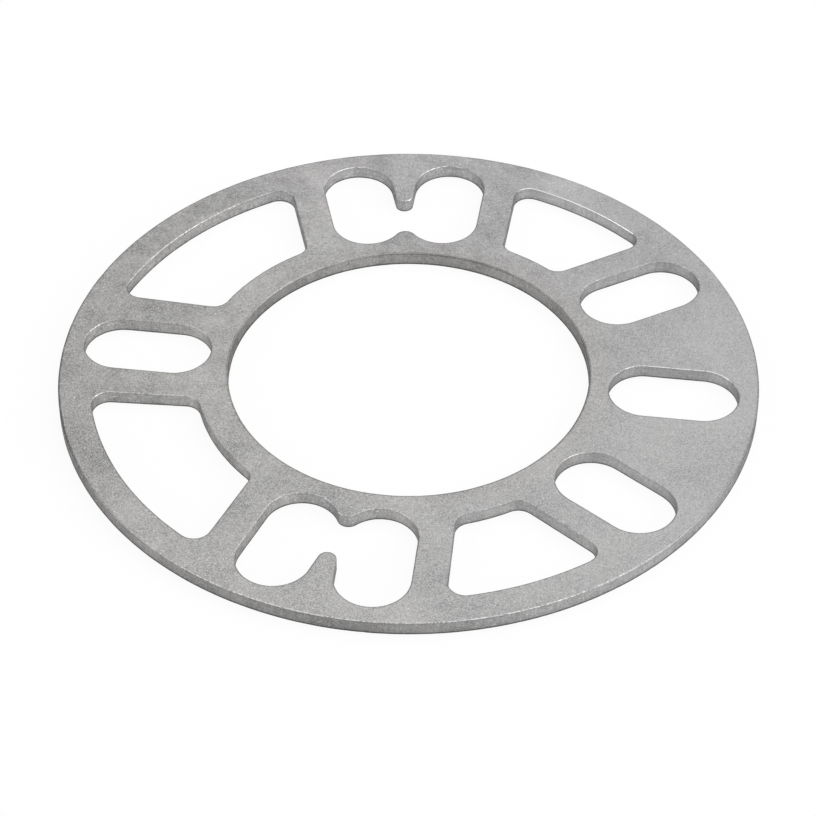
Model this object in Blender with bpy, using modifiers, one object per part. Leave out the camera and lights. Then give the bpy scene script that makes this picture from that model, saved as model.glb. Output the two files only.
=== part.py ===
"""Wheel spacer: a flat cast aluminium ring that goes between a wheel hub and the wheel.

The ring lies on its back face with the bore axis on Z. The middle one of the
three slots that stand together points along +X, and the ring is the same on
both sides of the X axis.
"""

import math

import bmesh
import bpy
from mathutils import Vector

# Ring
outer_diameter = 0.144
bore_diameter = 0.0743
thickness = 0.003
edge_break = 0.00025

# Slots for the wheel studs, with the metal left between their ends and the two rims
stud_slot_width = 0.015
rim_land = 0.0041
bore_land = 0.0042
least_slot_run = 0.0005
side_slot_angle = math.radians(34)

# Twin slots: two stud slots that open into each other, between a tooth at the rim side and a cusp at the bore
twin_middle_angle = math.radians(98.5)
twin_half_spread = math.radians(9.5)
tooth_tip_radius = 0.0019
cusp_tip_radius = 0.0023

# Windows that save weight, with the bands left at the rim and at the bore
window_rim_band = 0.0066
window_bore_band = 0.0067
window_corner_radius = 0.0034

# Webs between a window and the slot beside it: width at the bore end, and lean of the window's side
side_slot_web = 0.0061
side_slot_web_lean = math.radians(1.0)
twin_front_web = 0.0067
twin_front_web_lean = math.radians(1.0)
twin_back_web = 0.0069
twin_back_web_lean = math.radians(0.5)
back_slot_web = 0.0067
back_slot_web_lean = math.radians(3.0)

# Fineness of the round stretches, and how far a cutter stands out past both faces
ring_segments = 192
bore_segments = 128
arc_step = math.radians(7.5)
large_arc_step = math.radians(2.5)
cutter_overrun = 0.002

# Sizes that follow from the ones above
outer_radius = outer_diameter / 2
bore_radius = bore_diameter / 2
stud_slot_radius = stud_slot_width / 2
slot_inner_centre = bore_radius + bore_land + stud_slot_radius
slot_outer_centre = max(outer_radius - rim_land - stud_slot_radius, slot_inner_centre + least_slot_run)
window_outer_radius = outer_radius - window_rim_band
window_inner_radius = bore_radius + window_bore_band


def polar(radius, angle):
    return Vector((radius * math.cos(angle), radius * math.sin(angle)))


def heading(point):
    return math.atan2(point.y, point.x)


def arc(centre, radius, start, end, step=arc_step):
    """Points on an arc from one angle to another, both ends included."""
    count = max(2, math.ceil(abs(end - start) / step))
    return [centre + polar(radius, start + (end - start) * i / count) for i in range(count + 1)]


def turned(points, angle):
    """The outline turned about the bore axis."""
    turn = Vector((math.cos(angle), math.sin(angle)))
    return [Vector((p.x * turn.x - p.y * turn.y, p.x * turn.y + p.y * turn.x)) for p in points]


def mirrored(points):
    """The outline on the other side of the X axis."""
    return [Vector((p.x, -p.y)) for p in reversed(points)]


def stud_slot_outline(angle):
    """A radial slot with round ends, wide enough for a wheel stud."""
    quarter = math.pi / 2
    outline = arc(Vector((slot_outer_centre, 0)), stud_slot_radius, -quarter, quarter)
    outline += arc(Vector((slot_inner_centre, 0)), stud_slot_radius, quarter, 3 * quarter)
    return turned(outline, angle)


def twin_slot_outline(angle):
    """Two stud slots side by side, joined between a round-tipped tooth and a cusp."""
    spread = twin_half_spread
    quarter = math.pi / 2
    tooth_centre = Vector(((stud_slot_radius + tooth_tip_radius) / math.sin(spread), 0))
    outer_end = polar(slot_outer_centre, spread)
    inner_end = polar(slot_inner_centre, spread)
    reach = max(stud_slot_radius + cusp_tip_radius, 1.001 * inner_end.y)
    cusp_centre = Vector((inner_end.x - math.sqrt(reach**2 - inner_end.y**2), 0))
    to_cusp = heading(cusp_centre - inner_end) % (2 * math.pi)

    half = arc(tooth_centre, tooth_tip_radius, math.pi, spread + quarter)
    half += arc(outer_end, stud_slot_radius, spread - quarter, spread + quarter)
    half += arc(inner_end, stud_slot_radius, spread + quarter, to_cusp)
    half += arc(cusp_centre, reach - stud_slot_radius, to_cusp - math.pi, 0)[1:]
    other_half = mirrored(half)[1:-1]
    return turned(half + other_half, angle)


def window_corner(side_angle, side_offset, ring_radius, side):
    """Centre of a window's corner round, touching a side line and a circle about the bore axis.

    The side line runs along side_angle and passes the bore axis at side_offset.
    The window lies to its left where side is 1, and to its right where it is -1.
    """
    along = polar(1, side_angle)
    inward = side * polar(1, side_angle + math.pi / 2)
    distance = side_offset + window_corner_radius
    return distance * inward + math.sqrt(ring_radius**2 - distance**2) * along


def web_side(slot_angle, web, lean, side):
    """Angle of a window's side line and its distance from the bore axis, from the web beside a slot."""
    along = polar(1, slot_angle)
    across = side * polar(1, slot_angle + math.pi / 2)
    inner_point = window_inner_radius * along + (stud_slot_radius + web) * across
    side_angle = slot_angle + side * lean
    offset = inner_point.dot(side * polar(1, side_angle + math.pi / 2))
    return side_angle, offset


def window_outline(first_side, second_side):
    """A window between two webs, going round it from its outer corner on the first side."""
    bore_axis = Vector((0, 0))
    inner_ring = window_inner_radius + window_corner_radius
    outer_ring = window_outer_radius - window_corner_radius
    first_inner = window_corner(*first_side, inner_ring, 1)
    first_outer = window_corner(*first_side, outer_ring, 1)
    second_inner = window_corner(*second_side, inner_ring, -1)
    second_outer = window_corner(*second_side, outer_ring, -1)
    first_square = first_side[0] - math.pi / 2
    second_square = second_side[0] + math.pi / 2
    outer_sweep = (heading(first_outer), heading(second_outer))
    inner_sweep = (heading(second_inner), heading(first_inner))

    outline = arc(first_outer, window_corner_radius, first_square, outer_sweep[0])
    outline += arc(bore_axis, window_outer_radius, *outer_sweep, large_arc_step)[1:-1]
    outline += arc(second_outer, window_corner_radius, outer_sweep[1], second_square)
    outline += arc(second_inner, window_corner_radius, second_square, inner_sweep[0] + math.pi)
    outline += arc(bore_axis, window_inner_radius, *inner_sweep, large_arc_step)[1:-1]
    outline += arc(first_inner, window_corner_radius, inner_sweep[1] + math.pi, first_square + 2 * math.pi)
    return outline


def clear_scene():
    for leftover in list(bpy.data.objects):
        bpy.data.objects.remove(leftover, do_unlink=True)


def new_collection(name):
    collection = bpy.data.collections.new(name)
    bpy.context.scene.collection.children.link(collection)
    return collection


def cylinder(name, radius, height, segments, collection):
    """A solid cylinder on the bore axis, about the ring's middle plane."""
    shape = bmesh.new()
    bmesh.ops.create_cone(
        shape, cap_ends=True, segments=segments, radius1=radius, radius2=radius, depth=height
    )
    mesh = bpy.data.meshes.new(name)
    shape.to_mesh(mesh)
    shape.free()
    solid = bpy.data.objects.new(name, mesh)
    solid.location.z = thickness / 2
    collection.objects.link(solid)
    return solid


def prism(name, outline, height, collection):
    """A solid with the given closed outline, about the ring's middle plane."""
    curve = bpy.data.curves.new(name + "_outline", "CURVE")
    curve.dimensions = "2D"
    curve.fill_mode = "BOTH"
    curve.extrude = height / 2
    spline = curve.splines.new("POLY")
    spline.points.add(len(outline) - 1)
    for place, point in zip(spline.points, outline):
        place.co = (point.x, point.y, 0, 1)
    spline.use_cyclic_u = True
    guide = bpy.data.objects.new(name + "_outline", curve)
    guide.location.z = thickness / 2
    collection.objects.link(guide)
    bpy.context.view_layer.update()

    graph = bpy.context.evaluated_depsgraph_get()
    mesh = bpy.data.meshes.new_from_object(guide.evaluated_get(graph))
    mesh.name = name
    solid = bpy.data.objects.new(name, mesh)
    solid.matrix_world = guide.matrix_world
    collection.objects.link(solid)
    bpy.data.objects.remove(guide, do_unlink=True)
    bpy.data.curves.remove(curve)

    shape = bmesh.new()
    shape.from_mesh(mesh)
    bmesh.ops.remove_doubles(shape, verts=shape.verts, dist=0.00001)
    bmesh.ops.dissolve_limit(shape, angle_limit=math.radians(0.1), verts=shape.verts, edges=shape.edges)
    bmesh.ops.recalc_face_normals(shape, faces=shape.faces)
    shape.to_mesh(mesh)
    shape.free()
    return solid


def opening_outlines():
    """Every slot and window in the ring by name, as an outline seen from above."""
    twin_front = twin_middle_angle - twin_half_spread
    twin_back = twin_middle_angle + twin_half_spread
    front_window = window_outline(
        web_side(side_slot_angle, side_slot_web, side_slot_web_lean, 1),
        web_side(twin_front, twin_front_web, twin_front_web_lean, -1),
    )
    back_window = window_outline(
        web_side(twin_back, twin_back_web, twin_back_web_lean, 1),
        web_side(math.pi, back_slot_web, back_slot_web_lean, -1),
    )
    twin = twin_slot_outline(twin_middle_angle)
    side_slot = stud_slot_outline(side_slot_angle)
    return {
        "front_slot": stud_slot_outline(0),
        "left_side_slot": side_slot,
        "right_side_slot": mirrored(side_slot),
        "back_slot": stud_slot_outline(math.pi),
        "left_twin_slot": twin,
        "right_twin_slot": mirrored(twin),
        "left_front_window": front_window,
        "right_front_window": mirrored(front_window),
        "left_back_window": back_window,
        "right_back_window": mirrored(back_window),
    }


def cast_aluminium():
    material = bpy.data.materials.new("cast_aluminium")
    material.use_nodes = True
    surface = material.node_tree.nodes["Principled BSDF"]
    surface.inputs["Base Color"].default_value = (0.55, 0.55, 0.55, 1)
    surface.inputs["Metallic"].default_value = 1
    surface.inputs["Roughness"].default_value = 0.5
    return material


def cut_away(plate, cutter):
    cutter.display_type = "WIRE"
    cutter.hide_render = True
    cut = plate.modifiers.new(cutter.name, "BOOLEAN")
    cut.operation = "DIFFERENCE"
    cut.solver = "EXACT"
    cut.object = cutter


def cut_openings(plate, cutters):
    """Cuts the bore, the stud slots and the windows right through the ring."""
    cutter_height = thickness + 2 * cutter_overrun
    cut_away(plate, cylinder("bore", bore_radius, cutter_height, bore_segments, cutters))
    for name, outline in opening_outlines().items():
        cut_away(plate, prism(name, outline, cutter_height, cutters))


def break_edges(plate):
    """Takes the sharpness off every edge where a wall meets a face."""
    bevel = plate.modifiers.new("edge_break", "BEVEL")
    bevel.width = edge_break
    bevel.segments = 1
    bevel.limit_method = "ANGLE"
    bevel.angle_limit = math.radians(60)


def shade(plate):
    """Smooth round walls with crisp edges."""
    plate.data.shade_smooth()
    plate.data.set_sharp_from_angle(angle=math.radians(30))
    plate.data.materials.append(cast_aluminium())


def spacer_plate(parts, cutters):
    plate = cylinder("spacer_plate", outer_radius, thickness, ring_segments, parts)
    cut_openings(plate, cutters)
    break_edges(plate)
    shade(plate)
    return plate


def main():
    clear_scene()
    parts = new_collection("wheel_spacer")
    cutters = new_collection("cutters")
    cutters.hide_render = True
    spacer_plate(parts, cutters)


main()
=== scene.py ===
"""Looks of a wheel spacer: a flat cast aluminium ring with a blasted finish.

The ring lies on its back face with the bore axis on Z, and the middle one of
the three slots that stand together points along +X. Sizes are in metres.
"""

import math

import bmesh
import bpy
from mathutils import Matrix, Vector, noise
from mathutils.geometry import delaunay_2d_cdt
from mathutils.kdtree import KDTree


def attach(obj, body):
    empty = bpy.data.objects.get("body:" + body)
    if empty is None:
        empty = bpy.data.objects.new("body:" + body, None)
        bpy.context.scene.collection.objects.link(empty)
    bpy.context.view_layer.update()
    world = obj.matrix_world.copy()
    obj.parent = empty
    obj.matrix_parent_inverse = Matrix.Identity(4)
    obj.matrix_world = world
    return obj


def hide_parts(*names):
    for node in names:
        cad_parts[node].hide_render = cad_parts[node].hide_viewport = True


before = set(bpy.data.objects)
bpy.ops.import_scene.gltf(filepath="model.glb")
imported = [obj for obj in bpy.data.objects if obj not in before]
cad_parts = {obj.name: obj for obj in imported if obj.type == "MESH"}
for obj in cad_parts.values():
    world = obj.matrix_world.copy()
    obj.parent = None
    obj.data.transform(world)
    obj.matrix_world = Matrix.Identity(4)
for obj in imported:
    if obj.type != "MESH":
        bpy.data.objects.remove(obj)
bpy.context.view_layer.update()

# Ring
outer_diameter = 0.144
bore_diameter = 0.0743
thickness = 0.003

# Slots for the wheel studs, with the metal left between their ends and the two rims
stud_slot_width = 0.015
rim_land = 0.0041
bore_land = 0.0042
side_slot_angle = math.radians(34)

# Twin slots: two stud slots that open into each other, between a tooth at the rim and a cusp at the bore
twin_middle_angle = math.radians(98.5)
twin_half_spread = math.radians(9.5)
tooth_tip_radius = 0.0019
cusp_tip_radius = 0.0023

# Windows that save weight, with the bands left at the rim and at the bore
window_rim_band = 0.0066
window_bore_band = 0.0067
window_corner_radius = 0.0034

# Webs between a window and the slot beside it: width at the bore end, and lean of the window's side
side_slot_web = 0.0061
side_slot_web_lean = math.radians(1.0)
twin_front_web = 0.0067
twin_front_web_lean = math.radians(1.0)
twin_back_web = 0.0069
twin_back_web_lean = math.radians(0.5)
back_slot_web = 0.0067
back_slot_web_lean = math.radians(3.0)

# Arrises: the rounded edges where a wall meets a face
top_arris = 0.00018
rim_top_arris = 0.00028
bore_top_arris = 0.00040
back_arris = 0.00016
ring_back_arris = 0.00007

# How far handling and deburring widen an arris, in slow and quick waves along it and in single nicks
arris_change = 0.00004
slow_waves_per_metre = 260
quick_waves_per_metre = 900
slow_share = 0.6
arris_nick = 0.00030
nicks_per_metre = 620
nick_above = 0.45

# How far the cut walls ripple, and how much slower they do so upwards than along the edge
wall_ripple = 0.00004
ripples_per_metre = 340
ripple_stretch = 0.6

# Strip of the top face that takes on the painted shade of the arris beside it
shaded_strip = 0.0002

# Wear and painted light of each top arris by the way it faces, in degrees from the front of the ring:
# negative to its left, and positive to its right. Above 0 an arris is rubbed bright with a painted highlight;
# below 0 it gets painted shade.
front_heading = math.radians(-82.5)
front_headings = (-50, -22, 0, 22, 50)
front_wear_sheen_and_shade = {
    "rim": (0.14, 0.72, 0.44, 0.50, -0.15),
    "bore": (-0.22, -0.36, -0.24, -0.03, -0.14),
    "front_slot": (0.72, 0.95, 0.74, 0.60, 0.30),
    "left_side_slot": (0.50, 0.24, 0.16, 0.18, 0.00),
    "right_side_slot": (0.26, 0.00, 0.30, 0.55, 0.40),
    "back_slot": (0.45, 0.54, 0.20, 0.20, 0.56),
    "left_twin_slot": (0.14, 0.46, 0.60, 0.66, 0.34),
    "right_twin_slot": (0.54, 0.50, 0.42, 0.48, 0.22),
    "left_front_window": (0.95, 1.00, 0.85, 0.74, -0.20),
    "right_front_window": (0.28, 0.32, 0.18, 0.18, -0.20),
    "left_back_window": (0.30, 0.42, 0.14, 0.12, 0.48),
    "right_back_window": (0.12, 0.58, 0.56, 0.58, 0.60),
}

# The same for the arrises that face left and right, and those that face away from the front
far_headings = (-105, -75, 75, 105)
far_wear_sheen_and_shade = {"rim": (-0.30, -0.55, -0.32, -0.14), "bore": (-0.26, -0.24, -0.42, -0.25)}
opening_far_wear_sheen_and_shade = (-0.40, 0.02, 0.02, -0.40)

# Painted light and shade on the walls, as shares of their tone, by the way they face
wall_headings = (-88, -63, -35, -7, 21, 42, 63, 88)
painted_wall_light = {
    "rim": (0.88, 0.89, 0.80, 0.70, 1.14, 1.23, 1.16, 0.62),
    "bore": (0.80, 0.82, 0.94, 0.78, 0.99, 0.78, 0.75, 0.74),
}
painted_opening_wall_light = (0.88, 0.93, 1.11, 1.01, 1.18, 1.05, 1.05, 0.95)

# Fineness of the mesh
edge_spacing = 0.0004
face_spacing = 0.0015
face_clearance = 0.00065
same_place = 1e-7
top_round_steps = 5
back_round_steps = 3
wall_steps = 4
fewest_arc_steps = 4

# How strongly the wide flat faces keep the shading flat up to their edges
flat_face_weight = 80

# Depths below the top face between which the edge's painted highlight, painted shade and dark line set in or
# fade out
bright_depths = (0.00017, 0.00011)
shade_depths = (0.00032, 0.00022)
dark_line_depths = (0.00045, 0.00032)

# Heights above the back face between which the wall's foot and its body turn paler
foot_heights = (0.00028, 0.00058)
body_heights = (0.0006, 0.0015)

# Tones of the wall as shares of its plain one, from low to high on it, and from dark to pale in its streaks
# The foot's dark tone is painted shade where the wall stands on the floor
foot_shade_tones = (0.42, 0.93)
body_tones = (0.95, 1.06)
dark_line_tones = (1, 0.92)
streak_tones = (0.88, 1.12)

# Streaks of the wall: how their noise is stretched and how fine it is, and the range that their tones cover
upright_stretch = (1, 1, 0.25)
level_stretch = (0.15, 0.15, 3)
upright_streaks_per_metre = 1600
level_streaks_per_metre = 1400
streak_spread = (0.7, 1.3)

# How much a surface faces up where it turns from face to wall, and where it turns from flat to round
face_to_wall = (0.85, 0.35)
flat_to_round = (0.999, 0.95)

# Sizes of the grains, flecks and clouds of the blasted metal, and of the breaks in a bright arris
grain_size = 0.00028
fleck_size = 0.0009
cloud_size = 0.0042
bright_break_size = 0.00048

# Scale of the noises that go with them, as shares of the scale that the size gives
coarse_pit_scale = 0.3
speck_scale = 0.55
drift_scale = 0.22
hue_patch_scale = 1.3
bright_stretch_scale = 0.16

# How far away the patches of hue are read in the noise, so that they don't follow the blotches
hue_patch_shift = (0.31, 0.17, 0)

# The range of each noise that is carried to the whole of its effect
grain_spread = (0.25, 0.75)
speck_spread = (0.76, 0.84)
cloud_spread = (0.3, 0.7)
shade_spread = (0.3, 0.6)

# The middle tone of the faces, and how far grains, blotches, drifts and flecks lighten and darken it, all as
# shares of the plain tone
middle_tone = 0.988
grain_change = 0.335
blotch_change = 0.095
drift_change = 0.11
fleck_change = 0.065

# Breaks in an arris's painted highlight: the share of the long ones in them, what their noise has to reach
# for the metal to be painted bright where the wear and painted light is 0 and where it is 1, how far below
# and above that it fades, and how bright it is at those two values
bright_stretch_share = 0.35
bright_from = (0.66, 0.28)
bright_fade_below = 0.09
bright_fade_above = 0.13
bright_strength = (0.3, 1)

# How faint and how strong the painted shade on the top edges is in its patches
shade_patches = (0.8, 1.1)

# Finish of the plain metal, and of the arris metal that is rubbed bright, whose pale tone is a painted
# highlight
plain_tone = 0.435
painted_highlight_tone = 0.98
plain_roughness = (0.56, 0.64)
bright_roughness = 0.42
glancing_tone = 0.08
pit_depth = 0.00008
pit_strength = 0.5

# Hues of the metal, and the sides of the ring on which it is warmer or pinker
plain_hue = (1, 1, 1, 1)
warm_hue = (1, 0.984, 0.963, 1)
warm_side = (-1, -0.35, 0)
pink_hue = (1.004, 0.996, 1.004, 1)
pink_side = (0.35, 1, 0)
cool_patch = (0.997, 1.000, 1.002, 1)
warm_patch = (1.006, 0.996, 0.994, 1)

# Studio: a white floor just under the ring, and even light from all round
floor_reach = 3
floor_gap = 0.00002
floor_tone = 0.88
floor_white_share = 0.92
air_level = 0.32

# Camera: how it stands to the bore axis, found from the outlines in the photograph
camera_distance = 0.6478461
camera_tilt = math.radians(47.3487)
camera_spin = math.radians(-7.5297)
camera_roll = math.radians(-0.0979)
camera_across = 0.0001146
camera_up = 0.0057856
camera_lens = 138.315
camera_sensor = 36
camera_reach = (0.01, 20)

# Sizes that follow from the ones above
outer_radius = outer_diameter / 2
bore_radius = bore_diameter / 2
stud_slot_radius = stud_slot_width / 2
slot_inner_centre = bore_radius + bore_land + stud_slot_radius
slot_outer_centre = outer_radius - rim_land - stud_slot_radius
window_outer_radius = outer_radius - window_rim_band
window_inner_radius = bore_radius + window_bore_band

# Changes of the finish across the ring: the two places along X or Y, in metres, and what it is at each
coarseness_by_x = (-outer_radius, outer_radius, 1.22, 0.74)
coarseness_by_y = (-0.06, 0.05, 1.15, 0.95)
unevenness_by_x = (-0.02, 0.07, 1.05, 0.52)
unevenness_by_y = (-0.05, 0.06, 1.05, 1.5)
speck_tone_by_x = (-outer_radius, outer_radius, 0.75, 0.28)
# Painted light on the faces: a paler stretch left of the middle, more so towards the front
painted_light_from_left = (-0.064, -0.036, 0, 1)
painted_light_from_right = (-0.02, 0.04, 1, 0)
painted_light_by_y = (-0.05, 0.05, 0.07, 0.04)

# Changes of hue: the two distances from the bore axis, or along a side, and how warm or pink it is at each
warmth_round_bore = (0.0372, 0.0445, 0.9, 0)
warmth_to_the_left = (-0.04, 0.065, 0, 0.68)
pinkness_to_the_back = (0.030, 0.045, 0, 1)

# How the clouds' drifts change coarseness, as a factor, and warmth, as a sum, from darkest to palest
coarseness_by_drift = (1.15, 0.85)
warmth_by_drift = (-0.24, 0.18)


def polar(radius, angle):
    return Vector((radius * math.cos(angle), radius * math.sin(angle)))


def heading(point):
    return math.atan2(point.y, point.x)


def arc(centre, radius, start, end):
    """Points on an arc from one angle to another, both ends included."""
    count = max(fewest_arc_steps, math.ceil(abs(end - start) * radius / edge_spacing))
    return [centre + polar(radius, start + (end - start) * i / count) for i in range(count + 1)]


def circle(radius):
    return arc(Vector((0, 0)), radius, 0, 2 * math.pi)[:-1]


def turned(points, angle):
    """The outline turned about the bore axis."""
    turn = Vector((math.cos(angle), math.sin(angle)))
    return [Vector((p.x * turn.x - p.y * turn.y, p.x * turn.y + p.y * turn.x)) for p in points]


def mirrored(points):
    """The outline on the other side of the X axis."""
    return [Vector((p.x, -p.y)) for p in reversed(points)]


def stud_slot_outline(angle):
    """A radial slot with round ends, wide enough for a wheel stud."""
    quarter = math.pi / 2
    outline = arc(Vector((slot_outer_centre, 0)), stud_slot_radius, -quarter, quarter)
    outline += arc(Vector((slot_inner_centre, 0)), stud_slot_radius, quarter, 3 * quarter)
    return turned(outline, angle)


def twin_slot_outline(angle):
    """Two stud slots side by side, joined between a round-tipped tooth and a cusp."""
    spread = twin_half_spread
    quarter = math.pi / 2
    tooth_centre = Vector(((stud_slot_radius + tooth_tip_radius) / math.sin(spread), 0))
    outer_end = polar(slot_outer_centre, spread)
    inner_end = polar(slot_inner_centre, spread)
    reach = stud_slot_radius + cusp_tip_radius
    cusp_centre = Vector((inner_end.x - math.sqrt(reach**2 - inner_end.y**2), 0))
    to_cusp = heading(cusp_centre - inner_end) % (2 * math.pi)

    half = arc(tooth_centre, tooth_tip_radius, math.pi, spread + quarter)
    half += arc(outer_end, stud_slot_radius, spread - quarter, spread + quarter)
    half += arc(inner_end, stud_slot_radius, spread + quarter, to_cusp)
    half += arc(cusp_centre, cusp_tip_radius, to_cusp - math.pi, 0)[1:]
    other_half = mirrored(half)[1:-1]
    return turned(half + other_half, angle)


def window_corner(side_angle, side_offset, ring_radius, side):
    """Centre of a window's corner round, touching a side line and a circle about the bore axis.

    The side line runs along side_angle and passes the bore axis at side_offset.
    The window lies to its left where side is 1, and to its right where it is -1.
    """
    along = polar(1, side_angle)
    inward = side * polar(1, side_angle + math.pi / 2)
    distance = side_offset + window_corner_radius
    return distance * inward + math.sqrt(ring_radius**2 - distance**2) * along


def web_side(slot_angle, web, lean, side):
    """Angle of a window's side line and its distance from the bore axis, from the web beside a slot."""
    along = polar(1, slot_angle)
    across = side * polar(1, slot_angle + math.pi / 2)
    inner_point = window_inner_radius * along + (stud_slot_radius + web) * across
    side_angle = slot_angle + side * lean
    offset = inner_point.dot(side * polar(1, side_angle + math.pi / 2))
    return side_angle, offset


def window_outline(first_side, second_side):
    """A window between two webs, going round it from its outer corner on the first side."""
    bore_axis = Vector((0, 0))
    inner_ring = window_inner_radius + window_corner_radius
    outer_ring = window_outer_radius - window_corner_radius
    first_inner = window_corner(*first_side, inner_ring, 1)
    first_outer = window_corner(*first_side, outer_ring, 1)
    second_inner = window_corner(*second_side, inner_ring, -1)
    second_outer = window_corner(*second_side, outer_ring, -1)
    first_square = first_side[0] - math.pi / 2
    second_square = second_side[0] + math.pi / 2
    outer_sweep = (heading(first_outer), heading(second_outer))
    inner_sweep = (heading(second_inner), heading(first_inner))

    outline = arc(first_outer, window_corner_radius, first_square, outer_sweep[0])
    outline += arc(bore_axis, window_outer_radius, *outer_sweep)[1:-1]
    outline += arc(second_outer, window_corner_radius, outer_sweep[1], second_square)
    outline += arc(second_inner, window_corner_radius, second_square, inner_sweep[0] + math.pi)
    outline += arc(bore_axis, window_inner_radius, *inner_sweep)[1:-1]
    outline += arc(first_inner, window_corner_radius, inner_sweep[1] + math.pi, first_square + 2 * math.pi)
    return outline


def opening_outlines():
    """The bore, the slots and the windows by name, as outlines seen from above."""
    twin_front = twin_middle_angle - twin_half_spread
    twin_back = twin_middle_angle + twin_half_spread
    front_window = window_outline(
        web_side(side_slot_angle, side_slot_web, side_slot_web_lean, 1),
        web_side(twin_front, twin_front_web, twin_front_web_lean, -1),
    )
    back_window = window_outline(
        web_side(twin_back, twin_back_web, twin_back_web_lean, 1),
        web_side(math.pi, back_slot_web, back_slot_web_lean, -1),
    )
    twin = twin_slot_outline(twin_middle_angle)
    side_slot = stud_slot_outline(side_slot_angle)
    return {
        "bore": circle(bore_radius),
        "front_slot": stud_slot_outline(0),
        "left_side_slot": side_slot,
        "right_side_slot": mirrored(side_slot),
        "back_slot": stud_slot_outline(math.pi),
        "left_twin_slot": twin,
        "right_twin_slot": mirrored(twin),
        "left_front_window": front_window,
        "right_front_window": mirrored(front_window),
        "left_back_window": back_window,
        "right_back_window": mirrored(back_window),
    }


def evenly_filled(outline):
    """The closed outline with points added along its straight stretches, and no two at one place."""
    filled = []
    for point, following in zip(outline, outline[1:] + outline[:1]):
        count = math.ceil((following - point).length / edge_spacing)
        filled += [point.lerp(following, i / count) for i in range(count)]
    return filled


def into_metal(outline, metal_side):
    """For each point of the outline, the direction square to it that leads into the metal."""
    directions = []
    for i, point in enumerate(outline):
        along = (outline[(i + 1) % len(outline)] - outline[i - 1]).normalized()
        directions.append(metal_side * Vector((-along.y, along.x)))
    return directions


def wander(point, height, per_metre):
    """A smooth change along the edge, between -1 and 1."""
    return noise.noise(Vector((*point, height)) * per_metre)


def worn_arris(point, height, radius):
    """Radius of the arris at this point, after handling and deburring.

    The three changes are read at heights far apart, so that they don't move together.
    """
    slow = wander(point, height, slow_waves_per_metre)
    quick = wander(point, height + 0.5, quick_waves_per_metre)
    nick = max(0, wander(point, height + 1.5, nicks_per_metre) - nick_above)
    change = slow_share * slow + (1 - slow_share) * quick
    return radius + arris_change * change + arris_nick * nick


def ripple(point, height):
    """How far the cut wall stands back at this point."""
    return wall_ripple * (0.5 + 0.5 * wander(point, ripple_stretch * height, ripples_per_metre))


def edge_section(name, point, inward):
    """Points down one section of the edge: a strip of the top face, the arris, the wall, the back arris."""
    top_size = {"rim": rim_top_arris, "bore": bore_top_arris}.get(name, top_arris)
    back_size = ring_back_arris if name in ("rim", "bore") else back_arris
    top_radius = worn_arris(point, thickness, top_size)
    back_radius = worn_arris(point, 0, back_size)
    section = [(top_radius + shaded_strip, thickness)]
    for step in range(top_round_steps + 1):
        turn = math.pi / 2 * step / top_round_steps
        section.append((top_radius * (1 - math.sin(turn)), thickness - top_radius * (1 - math.cos(turn))))
    for step in range(1, wall_steps):
        share = step / wall_steps
        section.append((0, (1 - share) * (thickness - top_radius) + share * back_radius))
    for step in range(back_round_steps + 1):
        turn = math.pi / 2 * step / back_round_steps
        section.append((back_radius * (1 - math.cos(turn)), back_radius * (1 - math.sin(turn))))
    stood_back = [(depth + ripple(point, height), height) for depth, height in section]
    return [Vector((*(point + inward * depth), height)) for depth, height in stood_back]


def by_heading(inward, headings, values):
    """The value for the way an edge faces, which is away from its metal."""
    turn = (math.degrees(heading(-inward) - front_heading) + 180) % 360 - 180
    turn = min(headings[-1], max(headings[0], turn))
    stops = list(zip(headings, values))
    for (low, first), (high, second) in zip(stops, stops[1:]):
        if turn <= high:
            return first + (second - first) * (turn - low) / (high - low)


def edge_band(shape, name, outline, metal_side):
    """Skins the edge along a closed outline, and gives its topmost and lowest rows of points.

    The topmost row lies on the face and is left without wear and painted light, so that they fade out across
    the strip.
    """
    wear_sheen_and_shade = shape.verts.layers.float["wear_sheen_and_shade"]
    painted_wall_shading = shape.verts.layers.float["painted_wall_shading"]
    wall_light = painted_wall_light.get(name, painted_opening_wall_light)
    far = far_wear_sheen_and_shade.get(name, opening_far_wear_sheen_and_shade)
    sheen_and_shade_headings = (*far_headings[:2], *front_headings, *far_headings[2:])
    sheen_and_shade_values = (*far[:2], *front_wear_sheen_and_shade[name], *far[2:])
    sections = []
    for point, inward in zip(outline, into_metal(outline, metal_side)):
        section = [shape.verts.new(place) for place in edge_section(name, point, inward)]
        # Each point takes the painted light and shade of the walls for the way it faces
        for vert in section:
            vert[painted_wall_shading] = by_heading(inward, wall_headings, wall_light)
        # Below the face, each point takes the wear with painted highlight and painted shade for the way it
        # faces
        for vert in section[1:]:
            vert[wear_sheen_and_shade] = by_heading(inward, sheen_and_shade_headings, sheen_and_shade_values)
        sections.append(section)
    for section, following in zip(sections, sections[1:] + sections[:1]):
        for row in range(len(section) - 1):
            shape.faces.new((section[row], section[row + 1], following[row + 1], following[row]))
    return [section[0] for section in sections], [section[-1] for section in sections]


def face_points(rims):
    """An even triangular spread of points over the ring's face, clear of every edge."""
    near_edge = KDTree(sum(len(rim) for rim in rims))
    for i, vert in enumerate(vert for rim in rims for vert in rim):
        near_edge.insert((vert.co.x, vert.co.y, 0), i)
    near_edge.balance()
    row_height = face_spacing * math.sqrt(3) / 2
    rows = math.ceil(outer_radius / row_height)
    columns = math.ceil(outer_radius / face_spacing)
    spread = []
    for row in range(-rows, rows + 1):
        for column in range(-columns, columns + 1):
            point = Vector((face_spacing * (column + 0.5 * (row % 2)), row_height * row))
            on_ring = bore_radius < point.length < outer_radius
            if on_ring and near_edge.find((point.x, point.y, 0))[2] > face_clearance:
                spread.append(point)
    return spread


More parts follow.
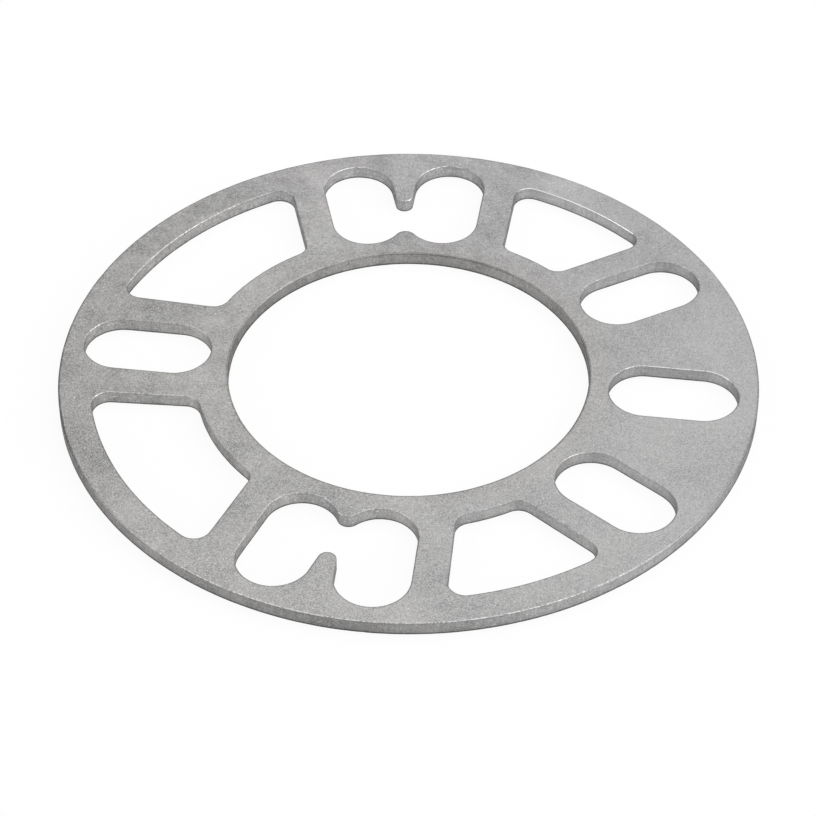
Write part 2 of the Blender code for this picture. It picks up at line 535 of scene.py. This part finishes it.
def fill_face(shape, rims, height):
    """Fills a face of the ring between the rim and all the openings."""
    rim_verts = [vert for rim in rims for vert in rim]
    places = [Vector((vert.co.x, vert.co.y)) for vert in rim_verts]
    loops = []
    first = 0
    for rim in rims:
        loops.append(list(range(first, first + len(rim))))
        first += len(rim)
    places += face_points(rims)
    inside_with_holes = 2
    filled = delaunay_2d_cdt(places, [], loops, inside_with_holes, same_place)
    made, _, triangles, sources, _, _ = filled
    verts = {}
    for triangle in triangles:
        for i in triangle:
            if i in verts:
                continue
            source = sources[i][0]
            on_rim = source < len(rim_verts)
            verts[i] = rim_verts[source] if on_rim else shape.verts.new((*made[i], height))
        shape.faces.new([verts[i] for i in triangle])


def ring_mesh():
    shape = bmesh.new()
    shape.verts.layers.float.new("wear_sheen_and_shade")
    shape.verts.layers.float.new("painted_wall_shading")
    bands = [edge_band(shape, "rim", evenly_filled(circle(outer_radius)), 1)]
    for name, outline in opening_outlines().items():
        bands.append(edge_band(shape, name, evenly_filled(outline), -1))
    fill_face(shape, [top for top, _ in bands], thickness)
    fill_face(shape, [back for _, back in bands], 0)
    bmesh.ops.recalc_face_normals(shape, faces=shape.faces)
    mesh = bpy.data.meshes.new("blasted_ring")
    shape.to_mesh(mesh)
    shape.free()
    mesh.shade_smooth()
    return mesh


class Nodes:
    """Places shader nodes in a tree, with numbers and links given by socket."""

    def __init__(self, tree):
        self.tree = tree

    def feed(self, socket, value):
        """Links a value to a socket, or sets a plain one on it."""
        if isinstance(value, bpy.types.NodeSocket):
            self.tree.links.new(value, socket)
        else:
            socket.default_value = value

    def add(self, kind, inputs=None, **settings):
        node = self.tree.nodes.new(kind)
        for name, value in settings.items():
            setattr(node, name, value)
        for name, value in (inputs or {}).items():
            self.feed(next(s for i, s in enumerate(node.inputs) if name in (i, s.name) and s.enabled), value)
        return node

    def math(self, operation, *values):
        return self.add("ShaderNodeMath", dict(enumerate(values)), operation=operation).outputs[0]

    def product(self, value, *others):
        for other in others:
            value = self.math("MULTIPLY", value, other)
        return value

    def total(self, value, *others):
        for other in others:
            value = self.math("ADD", value, other)
        return value

    def vector(self, operation, *values):
        """A vector made from others, or a number if the operation gives one."""
        node = self.add("ShaderNodeVectorMath", dict(enumerate(values)), operation=operation)
        return next(socket for socket in node.outputs if socket.enabled)

    def between(self, value, low, high, to_low=0, to_high=1, smooth=False):
        """The value carried from one range to another, and held at its ends."""
        node = self.add(
            "ShaderNodeMapRange",
            {"Value": value, "From Min": low, "From Max": high, "To Min": to_low, "To Max": to_high},
            interpolation_type="SMOOTHSTEP" if smooth else "LINEAR",
        )
        return node.outputs["Result"]

    def swing(self, value, change):
        """A value that runs from 0 to 1, carried to as far below nothing as above it."""
        return self.between(value, 0, 1, -change, change)

    def mix(self, share, first, second):
        """A number between two others."""
        node = self.add("ShaderNodeMix", {"Factor": share, "A": first, "B": second}, data_type="FLOAT")
        return node.outputs["Result"]

    def tint(self, share, first, second):
        """A colour between two others."""
        node = self.add("ShaderNodeMix", {"Factor": share, "A": first, "B": second}, data_type="RGBA")
        return next(socket for socket in node.outputs if socket.enabled)

    def group(self, tree, inputs):
        """A node group with its own values here."""
        return self.add("ShaderNodeGroup", inputs, node_tree=tree).outputs

    def noise(self, place, scale, detail, roughness=0.5, distortion=0):
        node = self.add(
            "ShaderNodeTexNoise",
            {
                "Vector": place,
                "Scale": scale,
                "Detail": detail,
                "Roughness": roughness,
                "Distortion": distortion,
            },
        )
        return node.outputs["Fac"]


def new_group(name, inputs, outputs):
    """A node group with named sockets: vectors for Place and Facing, and numbers for all the others."""
    tree = bpy.data.node_groups.new(name, "ShaderNodeTree")
    for socket, value in inputs.items():
        kind = "NodeSocketVector" if socket in ("Place", "Facing") else "NodeSocketFloat"
        made = tree.interface.new_socket(socket, in_out="INPUT", socket_type=kind)
        if value is not None:
            made.default_value = value
    for socket in outputs:
        tree.interface.new_socket(socket, in_out="OUTPUT", socket_type="NodeSocketFloat")
    nodes = Nodes(tree)
    return nodes, nodes.add("NodeGroupInput").outputs, nodes.add("NodeGroupOutput").inputs


def blast_grain():
    """Fine pitting from blasting with grit: tone and height of each grain, and stray bright specks."""
    nodes, given, put_out = new_group(
        "blast_grain", {"Place": None, "Grain Size": grain_size}, ["Tone", "Height", "Speck"]
    )
    per_metre = nodes.math("DIVIDE", 1, given["Grain Size"])
    coarse_scale = nodes.product(per_metre, coarse_pit_scale)
    fine = nodes.noise(given["Place"], per_metre, detail=1, roughness=0.7, distortion=0.3)
    coarse = nodes.noise(given["Place"], coarse_scale, detail=2, roughness=0.6, distortion=0.6)
    stray = nodes.noise(given["Place"], nodes.product(per_metre, speck_scale), detail=0)
    nodes.feed(put_out["Tone"], nodes.between(fine, *grain_spread))
    nodes.feed(put_out["Height"], nodes.total(nodes.product(fine, 0.5), nodes.product(coarse, 0.5)))
    nodes.feed(put_out["Speck"], nodes.between(stray, *speck_spread, smooth=True))
    return nodes.tree


def casting_cloud():
    """Clouds that a casting keeps under its blasted skin: small blotches, wide drifts and patches of hue."""
    nodes, given, put_out = new_group(
        "casting_cloud", {"Place": None, "Cloud Size": cloud_size}, ["Blotch", "Drift", "Hue"]
    )
    per_metre = nodes.math("DIVIDE", 1, given["Cloud Size"])
    blotch = nodes.noise(given["Place"], per_metre, detail=3, roughness=0.75, distortion=0.3)
    drift = nodes.noise(given["Place"], nodes.product(per_metre, drift_scale), detail=2, roughness=0.6)
    elsewhere = nodes.vector("ADD", given["Place"], hue_patch_shift)
    hue = nodes.noise(elsewhere, nodes.product(per_metre, hue_patch_scale), detail=1)
    nodes.feed(put_out["Blotch"], nodes.between(blotch, *cloud_spread))
    nodes.feed(put_out["Drift"], nodes.between(drift, *cloud_spread))
    nodes.feed(put_out["Hue"], nodes.between(hue, *cloud_spread))
    return nodes.tree


def below_top(depths):
    """Heights of the given depths below the top face."""
    return [thickness - depth for depth in depths]


def edge_finish():
    """Where the metal is wall, where its arris is rubbed bright with a painted highlight, and where the top
    edge gets painted shade.
    """
    nodes, given, put_out = new_group(
        "edge_finish",
        {"Place": None, "Facing": None, "Height": 0, "Break Size": bright_break_size, "Wear Sheen And Shade": 0},
        ["Wall", "Bright", "Painted Shade"],
    )
    height = given["Height"]
    wear_sheen_and_shade = given["Wear Sheen And Shade"]
    facing_up = nodes.add("ShaderNodeSeparateXYZ", {"Vector": given["Facing"]}).outputs["Z"]
    wall = nodes.between(nodes.math("ABSOLUTE", facing_up), *face_to_wall, smooth=True)
    rounded = nodes.between(facing_up, *flat_to_round, smooth=True)
    arris = nodes.product(nodes.between(height, *below_top(bright_depths), smooth=True), rounded)

    per_metre = nodes.math("DIVIDE", 1, given["Break Size"])
    stretches = nodes.noise(given["Place"], nodes.product(per_metre, bright_stretch_scale), detail=2)
    dots = nodes.noise(given["Place"], per_metre, detail=1)
    long_breaks = nodes.product(stretches, bright_stretch_share)
    short_breaks = nodes.product(dots, 1 - bright_stretch_share)
    least = nodes.between(wear_sheen_and_shade, 0, 1, *bright_from)
    fade_from = nodes.math("SUBTRACT", least, bright_fade_below)
    fade_to = nodes.total(least, bright_fade_above)
    kept = nodes.between(nodes.total(long_breaks, short_breaks), fade_from, fade_to, smooth=True)
    bright = nodes.product(kept, nodes.between(wear_sheen_and_shade, 0, 1, *bright_strength))

    # Painted shade on the top edges, where the wear and painted light is below 0
    top_edge = nodes.between(height, *below_top(shade_depths), smooth=True)
    patchy = nodes.between(dots, *shade_spread, *shade_patches)
    painted_shade = nodes.product(nodes.between(wear_sheen_and_shade, -1, 0, 1, 0), patchy)
    nodes.feed(put_out["Wall"], wall)
    nodes.feed(put_out["Bright"], nodes.product(arris, bright))
    nodes.feed(put_out["Painted Shade"], nodes.product(top_edge, painted_shade))
    return nodes.tree


def wall_marks():
    """Marks along the cut walls: upright and level streaks, a foot darkened by painted shade, and a dark line
    under the arris.
    """
    nodes, given, put_out = new_group("wall_marks", {"Place": None, "Height": 0}, ["Tone"])
    height = given["Height"]
    stretched = nodes.vector("MULTIPLY", given["Place"], upright_stretch)
    upright = nodes.noise(stretched, upright_streaks_per_metre, detail=2, roughness=0.6)
    stretched = nodes.vector("MULTIPLY", given["Place"], level_stretch)
    level = nodes.noise(stretched, level_streaks_per_metre, detail=2, roughness=0.6)
    streaked = nodes.between(nodes.total(upright, level), *streak_spread, *streak_tones)
    # Painted shade along the foot of the wall, where it meets the floor
    foot_shade = nodes.between(height, *foot_heights, *foot_shade_tones, smooth=True)
    body = nodes.between(height, *body_heights, *body_tones)
    dark_line = nodes.between(height, *below_top(dark_line_depths), *dark_line_tones, smooth=True)
    nodes.feed(put_out["Tone"], nodes.product(foot_shade, body, dark_line, streaked))
    return nodes.tree


def face_tone(nodes, spot, grain, fleck, cloud):
    """Tone of the blasted faces as a share of the plain one.

    The grain is coarser to the left and the front, and the specks are brighter to the left. The clouds are
    stronger to the left and the back, and a stretch left of the middle is painted paler, as painted light.
    """
    coarseness = nodes.product(
        nodes.between(spot["X"], *coarseness_by_x),
        nodes.between(spot["Y"], *coarseness_by_y),
        nodes.between(cloud["Drift"], 0, 1, *coarseness_by_drift),
    )
    fine = nodes.product(nodes.swing(grain["Tone"], grain_change), coarseness)
    clouded = nodes.total(
        nodes.swing(cloud["Blotch"], blotch_change),
        nodes.swing(cloud["Drift"], drift_change),
        nodes.swing(fleck["Tone"], fleck_change),
    )
    unevenness = nodes.product(
        nodes.between(spot["Y"], *unevenness_by_y),
        nodes.between(spot["X"], *unevenness_by_x),
    )
    specks = nodes.product(grain["Speck"], nodes.between(spot["X"], *speck_tone_by_x))
    # Painted light: a paler stretch left of the middle
    from_left = nodes.between(spot["X"], *painted_light_from_left)
    from_right = nodes.between(spot["X"], *painted_light_from_right)
    painted_light = nodes.math("MINIMUM", from_left, from_right)
    painted_light = nodes.product(painted_light, nodes.between(spot["Y"], *painted_light_by_y))
    level = nodes.total(painted_light, middle_tone)
    return nodes.total(fine, nodes.product(clouded, unevenness), specks, level)


def metal_hue(nodes, place, cloud):
    """Hue of the metal: warmer round the bore and to the left, pinker to the back, and patchy."""
    round_bore = nodes.between(nodes.vector("LENGTH", place), *warmth_round_bore)
    to_the_left = nodes.between(nodes.vector("DOT_PRODUCT", place, warm_side), *warmth_to_the_left)
    warmth = nodes.math("MAXIMUM", round_bore, to_the_left)
    warmth = nodes.total(warmth, nodes.between(cloud["Drift"], 0, 1, *warmth_by_drift))
    warmed = nodes.tint(nodes.between(warmth, 0, 1), plain_hue, warm_hue)
    patched = nodes.vector("MULTIPLY", warmed, nodes.tint(cloud["Hue"], cool_patch, warm_patch))
    to_the_back = nodes.between(nodes.vector("DOT_PRODUCT", place, pink_side), *pinkness_to_the_back)
    return nodes.vector("MULTIPLY", patched, nodes.tint(to_the_back, plain_hue, pink_hue))


def blasted_aluminium():
    """Cast aluminium, blasted on its faces, with streaked walls in painted light and shade, and arrises
    rubbed bright with painted highlights in places and darkened by painted shade in others.
    """
    material = bpy.data.materials.new("blasted_aluminium")
    material.use_nodes = True
    nodes = Nodes(material.node_tree)
    surface = material.node_tree.nodes["Principled BSDF"]
    where = nodes.add("ShaderNodeTexCoord").outputs
    place = where["Object"]
    spot = nodes.add("ShaderNodeSeparateXYZ", {"Vector": place}).outputs
    # Wear with painted highlight and painted shade, stored on the arris points by the way they face
    wear_sheen_and_shade = nodes.add("ShaderNodeAttribute", attribute_name="wear_sheen_and_shade").outputs["Fac"]
    painted_wall_shading = nodes.add("ShaderNodeAttribute", attribute_name="painted_wall_shading").outputs["Fac"]

    blasting = blast_grain()
    grain = nodes.group(blasting, {"Place": place, "Grain Size": grain_size})
    fleck = nodes.group(blasting, {"Place": place, "Grain Size": fleck_size})
    cloud = nodes.group(casting_cloud(), {"Place": place, "Cloud Size": cloud_size})
    marks = nodes.group(wall_marks(), {"Place": place, "Height": spot["Z"]})
    edges = nodes.group(
        edge_finish(),
        {
            "Place": place,
            "Facing": where["Normal"],
            "Height": spot["Z"],
            "Break Size": bright_break_size,
            "Wear Sheen And Shade": wear_sheen_and_shade,
        },
    )

    # The wall's marks times the painted light and shade for the way it faces
    on_wall = nodes.product(marks["Tone"], painted_wall_shading)
    unshaded = nodes.math("SUBTRACT", 1, edges["Painted Shade"])
    blasted = nodes.product(face_tone(nodes, spot, grain, fleck, cloud), plain_tone)
    # The faces' tone, the walls' own tone on the walls, and the painted shade on the top edges
    tone = nodes.product(nodes.mix(edges["Wall"], 1, on_wall), blasted, unshaded)
    # Painted highlight where the arrises are rubbed bright
    tone = nodes.mix(edges["Bright"], tone, painted_highlight_tone)
    hue = metal_hue(nodes, place, cloud)
    shade = nodes.add("ShaderNodeVectorMath", {0: hue, "Scale": tone}, operation="SCALE")
    nodes.feed(surface.inputs["Base Color"], shade.outputs["Vector"])

    roughness = nodes.between(cloud["Blotch"], 0, 1, *plain_roughness)
    nodes.feed(surface.inputs["Roughness"], nodes.mix(edges["Bright"], roughness, bright_roughness))
    surface.inputs["Metallic"].default_value = 1
    surface.inputs["Specular Tint"].default_value = (glancing_tone, glancing_tone, glancing_tone, 1)

    pits = {"Strength": pit_strength, "Distance": pit_depth, "Height": grain["Height"]}
    nodes.feed(surface.inputs["Normal"], nodes.add("ShaderNodeBump", pits).outputs["Normal"])
    return material


def blasted_ring():
    ring = bpy.data.objects.new("blasted_ring", ring_mesh())
    bpy.context.scene.collection.objects.link(ring)
    ring.data.materials.append(blasted_aluminium())
    flat_faces = ring.modifiers.new("flat_faces", "WEIGHTED_NORMAL")
    flat_faces.weight = flat_face_weight
    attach(ring, "root")
    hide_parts("spacer_plate")
    return ring


def white_ground():
    """A pale floor that is seen white, and still takes a faint shadow from the ring."""
    material = bpy.data.materials.new("white_ground")
    material.use_nodes = True
    nodes = Nodes(material.node_tree)
    material.node_tree.nodes.remove(material.node_tree.nodes["Principled BSDF"])
    rays = nodes.add("ShaderNodeLightPath").outputs
    seen = nodes.math("MAXIMUM", rays["Is Camera Ray"], rays["Is Glossy Ray"])
    seen = nodes.math("MAXIMUM", seen, rays["Is Transmission Ray"])
    paper = nodes.add("ShaderNodeBsdfDiffuse", {"Color": (floor_tone, floor_tone, floor_tone, 1)})
    white = nodes.add("ShaderNodeEmission", {"Color": (1, 1, 1, 1), "Strength": 1})
    both = nodes.add("ShaderNodeMixShader", {0: nodes.product(seen, floor_white_share)})
    nodes.feed(both.inputs[1], paper.outputs[0])
    nodes.feed(both.inputs[2], white.outputs[0])
    nodes.feed(material.node_tree.nodes["Material Output"].inputs["Surface"], both.outputs[0])
    return material


def studio_floor():
    corners = [(x * floor_reach, y * floor_reach, 0) for x, y in ((-1, -1), (1, -1), (1, 1), (-1, 1))]
    mesh = bpy.data.meshes.new("studio_floor")
    mesh.from_pydata(corners, [], [(0, 1, 2, 3)])
    mesh.materials.append(white_ground())
    floor = bpy.data.objects.new("studio_floor", mesh)
    floor.location.z = -floor_gap
    bpy.context.scene.collection.objects.link(floor)


def soft_box(name, width, height, direction, distance, level):
    """An area lamp that faces the ring, as bright to look at as the level says."""
    data = bpy.data.lights.new(name, "AREA")
    data.shape = "RECTANGLE"
    data.size = width
    data.size_y = height
    data.energy = math.pi * width * height * level
    lamp = bpy.data.objects.new(name, data)
    bpy.context.scene.collection.objects.link(lamp)
    away = Vector(direction).normalized()
    lamp.location = distance * away
    lamp.rotation_euler = away.to_track_quat("Z", "Y").to_euler()


def studio_air():
    """The even light that comes from all round the studio, which is seen white."""
    world = bpy.data.worlds.new("studio_air")
    world.use_nodes = True
    nodes = Nodes(world.node_tree)
    rays = nodes.add("ShaderNodeLightPath").outputs
    around = world.node_tree.nodes["Background"]
    around.inputs["Color"].default_value = (1, 1, 1, 1)
    nodes.feed(around.inputs["Strength"], nodes.mix(rays["Is Camera Ray"], air_level, 1))
    bpy.context.scene.world = world


def lights():
    studio_air()
    soft_box("overhead", width=1.6, height=1.4, direction=(0.34, 0.46, 1), distance=1.1, level=1.45)
    soft_box("low_right", width=0.8, height=0.6, direction=(1.0, -0.10, 0.42), distance=1.2, level=4.5)
    soft_box("low_left", width=0.8, height=0.6, direction=(-0.94, -0.28, 0.42), distance=1.2, level=3)
    soft_box("front", width=0.8, height=0.4, direction=(0.1, -0.73, 0.72), distance=1.1, level=1.0)


def camera():
    data = bpy.data.cameras.new("camera")
    data.lens = camera_lens
    data.sensor_width = camera_sensor
    data.clip_start, data.clip_end = camera_reach
    stand = bpy.data.objects.new("camera", data)
    bpy.context.scene.collection.objects.link(stand)
    turn = (
        Matrix.Rotation(-camera_spin, 4, "Z")
        @ Matrix.Rotation(camera_tilt, 4, "X")
        @ Matrix.Rotation(-camera_roll, 4, "Z")
    )
    stand.matrix_world = turn @ Matrix.Translation((-camera_across, -camera_up, camera_distance))
    bpy.context.scene.camera = stand


blasted_ring()
studio_floor()
lights()
camera()
bpy.context.scene.view_settings.view_transform = "Standard"
